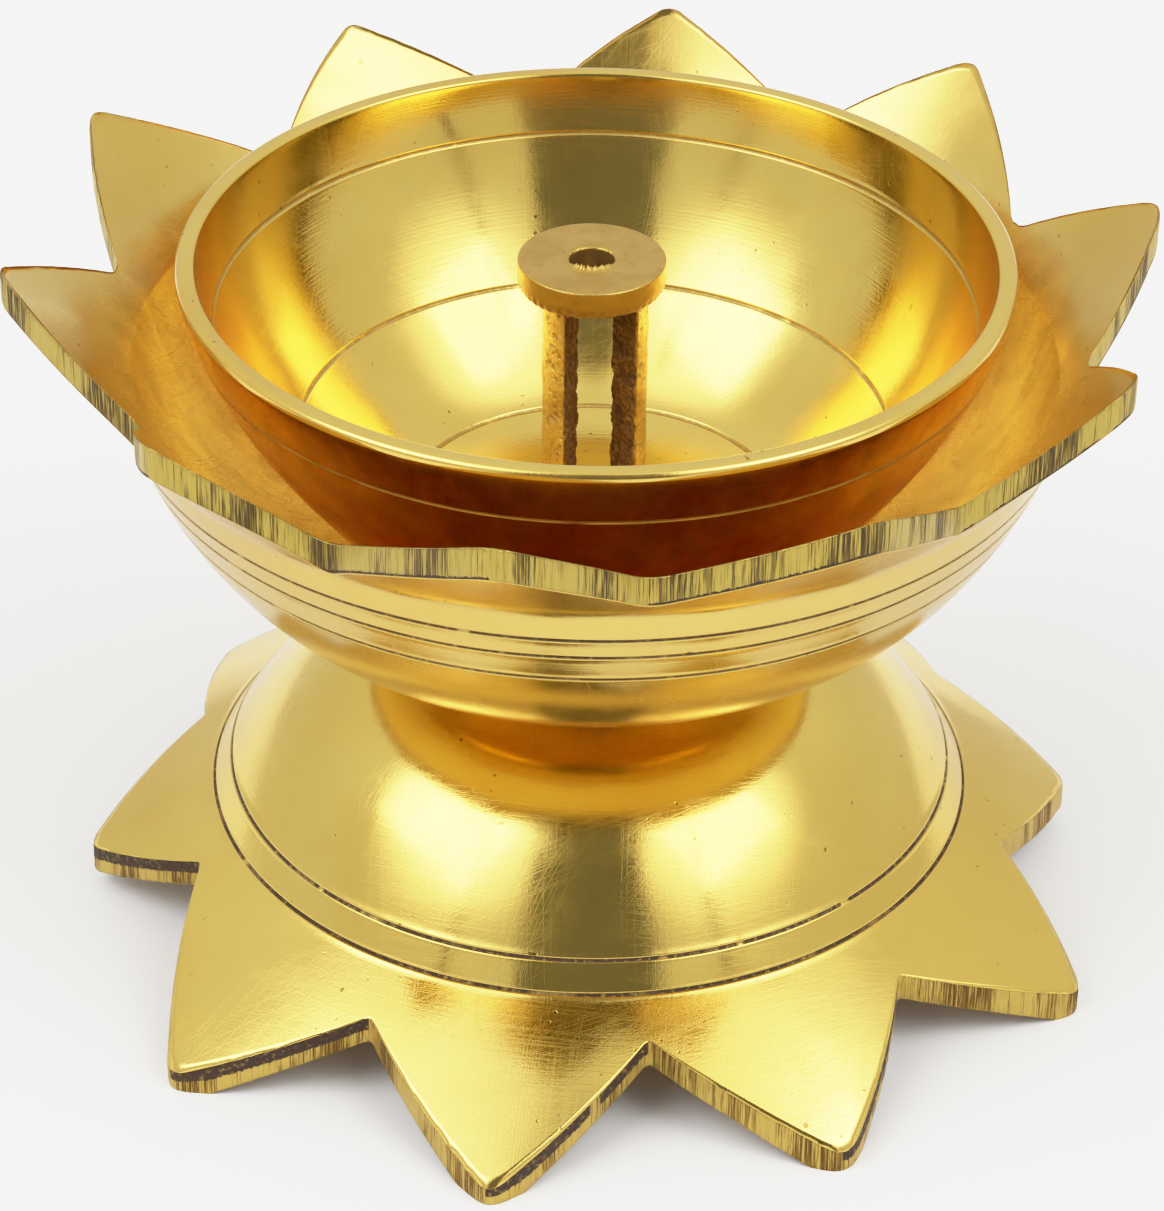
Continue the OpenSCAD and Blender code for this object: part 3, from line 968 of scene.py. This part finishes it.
def cast_brass(name):
    """Rough cast brass, golden where it was rubbed and brown where it wasn't."""
    look = material_look(name)
    wall = look.mark("cast")
    grime = look.mark("grime")
    sand = look.noise(0.5, detail=5.0, roughness=0.65)
    blotch = look.noise(2.6, detail=3.0)
    gold = look.blend(look.step(blotch, 0.35, 0.7), (0.78, 0.52, 0.14), (0.60, 0.36, 0.09))
    brown = look.blend(look.step(sand, 0.35, 0.65), (0.20, 0.095, 0.028), (0.46, 0.24, 0.075))
    colour = look.blend(wall, gold, brown)
    colour = look.blend(look.times(grime, 0.9), colour, (0.05, 0.028, 0.012))
    roughness = look.blend(wall, look.step(sand, 0.3, 0.7, 0.24, 0.42), 0.5)
    roughness = look.blend(grime, roughness, 0.75)
    metallic = look.maths("SUBTRACT", 1.0, look.times(grime, 0.7))
    normal = look.bump(look.noise(1.4, detail=2.0), 0.10)
    normal = look.bump(sand, 0.22, normal)
    normal = look.bump(look.noise(0.14, detail=2.0), 0.03, normal)
    return look.finish(colour, roughness, metallic, normal)


def disc_brass(name):
    """The disc's satin brass, faced on a lathe and a little tarnished."""
    look = material_look(name)
    grime = look.mark("grime")
    cast = look.mark("cast")
    rings = look.noise((0.12, 0.3, 1.0), detail=3.0, place=look.round_the_axis())
    cloud = look.noise(3.2, detail=3.0)
    scratch = hairlines(look, 0.8)
    colour = look.blend(look.step(cloud, 0.35, 0.7), (0.56, 0.35, 0.082), (0.48, 0.29, 0.062))
    colour = look.blend(look.step(look.noise(1.2, detail=2.0), 0.62, 0.72, 0.0, 0.5),
                        colour, (0.36, 0.21, 0.07))
    colour = look.blend(look.times(cast, 0.5), colour, (0.60, 0.34, 0.09))
    colour = look.blend(look.times(grime, 0.85), colour, (0.10, 0.05, 0.02))
    roughness = look.plus(look.step(cloud, 0.3, 0.7, 0.26, 0.38), look.times(scratch, 0.1))
    metallic = look.maths("SUBTRACT", 1.0, look.times(grime, 0.6))
    normal = look.bump(rings, 0.012)
    normal = look.bump(scratch, -0.006, normal)
    normal = look.bump(look.noise(0.5, detail=3.0), 0.02, normal)
    return look.finish(colour, roughness, metallic, normal)


def plated_steel(name):
    look = material_look(name)
    cloud = look.noise(2.0, detail=3.0)
    rings = look.noise((0.10, 0.3, 1.0), detail=2.0, place=look.round_the_axis())
    rust = look.step(look.noise(1.5, detail=4.0, roughness=0.7), 0.60, 0.72)
    colour = look.blend(cloud, (0.58, 0.58, 0.57), (0.70, 0.69, 0.64))
    colour = look.blend(look.times(rust, 0.6), colour, (0.24, 0.12, 0.05))
    roughness = look.blend(rust, look.step(cloud, 0.3, 0.7, 0.22, 0.36), 0.7)
    metallic = look.maths("SUBTRACT", 1.0, look.times(rust, 0.7))
    normal = look.bump(rings, 0.02)
    normal = look.bump(look.noise(0.4, detail=3.0), 0.02, normal)
    return look.finish(colour, roughness, metallic, normal)


def seal_rubber(name):
    look = material_look(name)
    grain = look.noise(0.25, detail=4.0, roughness=0.6)
    dust = look.step(look.noise(2.5, detail=3.0), 0.45, 0.75)
    colour = look.blend(dust, (0.018, 0.016, 0.014), (0.055, 0.047, 0.038))
    roughness = look.step(grain, 0.3, 0.7, 0.55, 0.8)
    normal = look.bump(grain, 0.05)
    return look.finish(colour, roughness, 0.0, normal)


def dress(piece, material):
    """Gives a piece its material."""
    piece.data.materials.clear()
    piece.data.materials.append(material)


def dress_node(node, material):
    """Gives a CAD node that stays in view a better material."""
    for place in frame["nodes"][node].material_slots:
        place.material = material


# ---- studio ----

CAMERA_TURN = -8.4          # degrees that the lamp is turned from the camera's direction
CAMERA_DOWN = 33.269
CAMERA_ROLL = 0.786
CAMERA_AWAY = 0.4452956     # metres from the aim point
AIM_RIGHT = -0.0010155      # the aim point: across the view, up it and up the lamp's axis
AIM_UP = -0.0057334
AIM_HEIGHT = 0.03808
LENS = 133.77374            # millimetres, on a sensor 36 mm across


def camera():
    down, turn, roll = (a * DEGREE for a in (CAMERA_DOWN, CAMERA_TURN, CAMERA_ROLL))
    forward = Vector((-math.sin(turn) * math.cos(down), math.cos(turn) * math.cos(down),
                      -math.sin(down)))
    level = Vector((math.cos(turn), math.sin(turn), 0))
    lift = level.cross(forward)
    right = math.cos(roll) * level + math.sin(roll) * lift
    up = -math.sin(roll) * level + math.cos(roll) * lift
    aim = Vector((0, 0, AIM_HEIGHT)) + AIM_RIGHT * right + AIM_UP * up
    data = bpy.data.cameras.new("camera")
    data.sensor_width = 36.0
    data.lens = LENS
    data.clip_start = 0.01
    view = bpy.data.objects.new("camera", data)
    bpy.context.scene.collection.objects.link(view)
    place = Matrix((right, up, -forward)).transposed().to_4x4()
    place.translation = aim - CAMERA_AWAY * forward
    view.matrix_world = place
    bpy.context.scene.camera = view


def soft_light(name, turn, lift, away, width, height, power):
    """A rectangular light that faces the lamp. turn is from the camera, to the right."""
    angle = (CAMERA_TURN - 90 + turn) * DEGREE
    rise = lift * DEGREE
    way = Vector((math.cos(angle) * math.cos(rise), math.sin(angle) * math.cos(rise),
                  math.sin(rise)))
    data = bpy.data.lights.new(name, "AREA")
    data.shape = "RECTANGLE"
    data.size, data.size_y = width, height
    data.energy = power
    light = bpy.data.objects.new(name, data)
    light.matrix_world = Matrix.LocRotScale(
        Vector((0, 0, 0.04)) + away * way, way.to_track_quat("Z", "Y"), None)
    bpy.context.scene.collection.objects.link(light)


def floor():
    half = 3000.0
    corners = [(x, y, 0) for x, y in ((-half, -half), (half, -half), (half, half), (-half, half))]
    piece = mesh_piece("studio_floor", np.array(corners), [[0, 1, 2, 3]])
    look = material_look("pale_floor")
    grain = look.noise(30.0, detail=3.0)
    colour = look.blend(grain, (0.93, 0.93, 0.93), (0.96, 0.96, 0.96))
    piece.data.materials.append(look.finish(colour, 0.6, 0.0, look.bump(grain, 0.02)))


# Where the two bright parts of the tent are, as a direction: to the side, ahead (less than
# zero is towards the camera) and up
HOT_SIDE = 0.51
HOT_AHEAD = -0.31
HOT_UP = 0.80
GAP_LIGHT = 0.21


def hot_part(look, side, ahead, lift, sign):
    """How much a direction looks into one bright part of the tent, from 0 to 1."""
    near = look.times(side, sign * HOT_SIDE)
    near = look.plus(near, look.times(ahead, HOT_AHEAD))
    near = look.plus(near, look.times(lift, HOT_UP))
    return look.step(near, 0.85, 1.0)


def world():
    """A pale tent with a bright part on each side, dark where the photographer stands."""
    studio = bpy.data.worlds.new("studio")
    bpy.context.scene.world = studio
    look = Look(studio)
    turn = look.node("Mapping")
    look.feed(turn.inputs["Vector"], look.direction)
    turn.inputs["Rotation"].default_value = (0, 0, -CAMERA_TURN * DEGREE)
    parts = look.node("SeparateXYZ")
    look.feed(parts.inputs[0], turn.outputs[0])
    side, ahead, lift = parts.outputs

    hot = look.plus(hot_part(look, side, ahead, lift, -1), hot_part(look, side, ahead, lift, 1))
    bright = look.step(lift, 0.25, 0.7, 0.90, 1.05)
    bright = look.plus(bright, look.times(hot, 2.3))

    # the dark gap: wide low in front, narrow overhead
    down = look.maths("SUBTRACT", 1.0, lift)
    width = look.plus(0.12, look.times(look.maths("SQRT", down), 0.27))
    centre = look.step(lift, 0.75, 0.95, 0.0, 0.045)
    off = look.maths("ABSOLUTE", look.maths("SUBTRACT", side, centre))
    in_front = look.step(ahead, -0.12, -0.34)
    gap = look.step(look.maths("SUBTRACT", width, off), -0.03, 0.03)
    gap = look.times(gap, in_front)
    bright = look.blend(gap, bright, GAP_LIGHT)

    # a seam of the tent on each side of the gap
    seam_off = look.maths("SUBTRACT", off, look.times(width, 1.85))
    seam = look.step(look.maths("ABSOLUTE", seam_off), 0.026, 0.008, 0.0, 0.6)
    seam = look.times(seam, in_front)
    bright = look.times(bright, look.maths("SUBTRACT", 1.0, seam))
    back = look.tree.nodes["Background"]
    back.inputs["Color"].default_value = (1.0, 1.0, 0.99, 1.0)
    look.feed(back.inputs["Strength"], bright)


WHITE = 4.0     # the brightest light that the picture can still tell apart
# Light and how bright it comes out in the picture: highlights are rounded off softly
EXPOSURE = ((0.25, 0.25), (0.5, 0.485), (0.75, 0.67), (1.0, 0.80), (1.3, 0.88),
            (1.8, 0.93), (2.6, 0.97))


def picture_tones():
    view = bpy.context.scene.view_settings
    view.view_transform = "Standard"
    view.use_curve_mapping = True
    curves = view.curve_mapping
    curves.white_level = (WHITE, WHITE, WHITE)
    all_colours = curves.curves[3]
    for light, shown in EXPOSURE:
        all_colours.points.new(light / WHITE, shown)
    curves.update()


# ---- the scene ----

camera()
world()
floor()
soft_light("left_box", -64, 48, 1.5, 1.0, 0.7, 6)
soft_light("right_box", 60, 50, 1.5, 0.8, 0.7, 5)

MATERIALS = {
    "foot_brass": polished_brass("foot_brass", scratches=1.0, ring_marks=0.35, smooth=0.10,
                                 sawn=FOOT_SAWN),
    # the lotus's painted reflected-light tone deep inside is golden
    "lotus_brass": polished_brass("lotus_brass", scratches=0.6, ring_marks=0.4, smooth=0.17,
                                  sawn=LOTUS_SAWN, tone=(0.67, 0.46, 0.118),
                                  deep_tone=(0.62, 0.40, 0.092),
                                  painted_bounce_tone=(0.83, 0.63, 0.22)),
    "oil_brass": polished_brass("oil_brass", scratches=0.4, ring_marks=0.5, wave=0.035,
                                smooth=0.11),
    "disc_brass": disc_brass("disc_brass"),
    "cast_brass": cast_brass("cast_brass"),
    "plated_steel": plated_steel("plated_steel"),
    "seal_rubber": seal_rubber("seal_rubber"),
}

PIECES = (
    (foot_piece, "foot_brass", "foot", "foot_base"),
    (lotus_piece, "lotus_brass", "lotus", "lotus_bowl"),
    (oil_piece, "oil_brass", "oil", "oil_bowl"),
    (disc_piece, "disc_brass", "wick_holder", "wick_disc"),
    (column_piece, "cast_brass", "wick_holder", "wick_column"),
    (stem_piece, "cast_brass", "wick_holder", "wick_column"),
)
for make, slot, body, node in PIECES:
    piece = make()
    dress(piece, MATERIALS[slot])
    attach(piece, body)
    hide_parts(node)

KEPT_NODES = {"neck_washer": "seal_rubber", "seal_washer": "seal_rubber",
              "spacer_ring": "cast_brass", "nut_washer": "plated_steel",
              "lock_washer": "plated_steel", "hex_nut": "plated_steel"}
for node, slot in KEPT_NODES.items():
    dress_node(node, MATERIALS[slot])

picture_tones()
bpy.context.scene.cycles.max_bounces = 16
bpy.context.scene.cycles.glossy_bounces = 16
